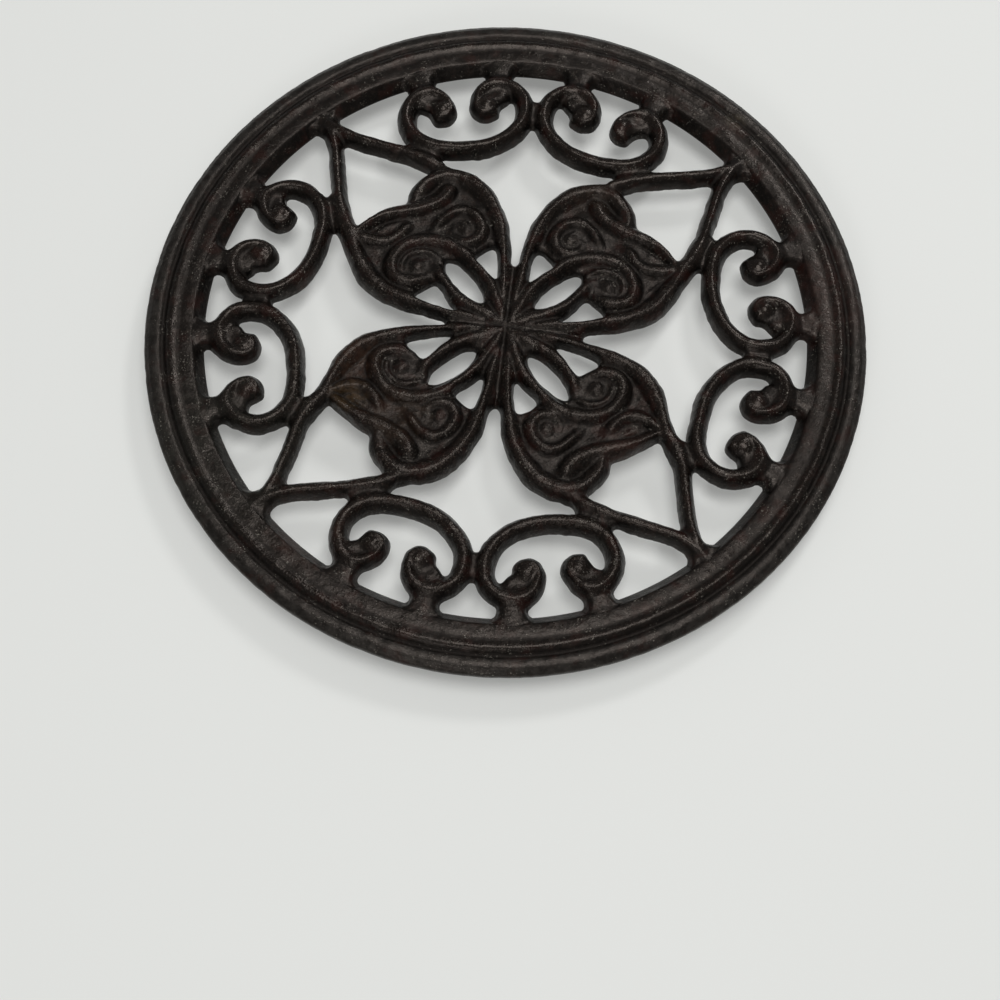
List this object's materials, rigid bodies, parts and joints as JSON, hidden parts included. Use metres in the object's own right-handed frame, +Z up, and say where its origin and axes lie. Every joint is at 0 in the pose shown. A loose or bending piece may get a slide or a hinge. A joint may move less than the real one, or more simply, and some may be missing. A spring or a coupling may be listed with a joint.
{
  "type": "trivet",
  "caption": "Round cast iron trivet with a moulded rim, openwork of C scrolls, carved leaf petals and V braces, and short feet.",
  "frame": {"origin": "on the table, under the middle of the trivet", "axes": "+Z up, +Y to the back and +X to the right as pictured; the petals lie on the diagonals"},
  "size_m": [0.2, 0.2, 0.0136],
  "materials": {
    "iron": "seasoned dark brown-black cast iron, semi-gloss, sand-cast grain in the recesses"
  },
  "bodies": {
    "root": {"rim": "iron", "hub": "iron", "petal_back_right": "iron", "petal_back_left": "iron", "petal_front_left": "iron", "petal_front_right": "iron", "brace_back_right": "iron", "brace_back_left": "iron", "brace_front_left": "iron", "brace_front_right": "iron", "scroll_back_right": "iron", "scroll_back_left": "iron", "scroll_left_back": "iron", "scroll_left_front": "iron", "scroll_front_left": "iron", "scroll_front_right": "iron", "scroll_right_front": "iron", "scroll_right_back": "iron", "foot_back_right": "iron", "foot_back_left": "iron", "foot_front_left": "iron", "foot_front_right": "iron"}
  },
  "joints": []
}
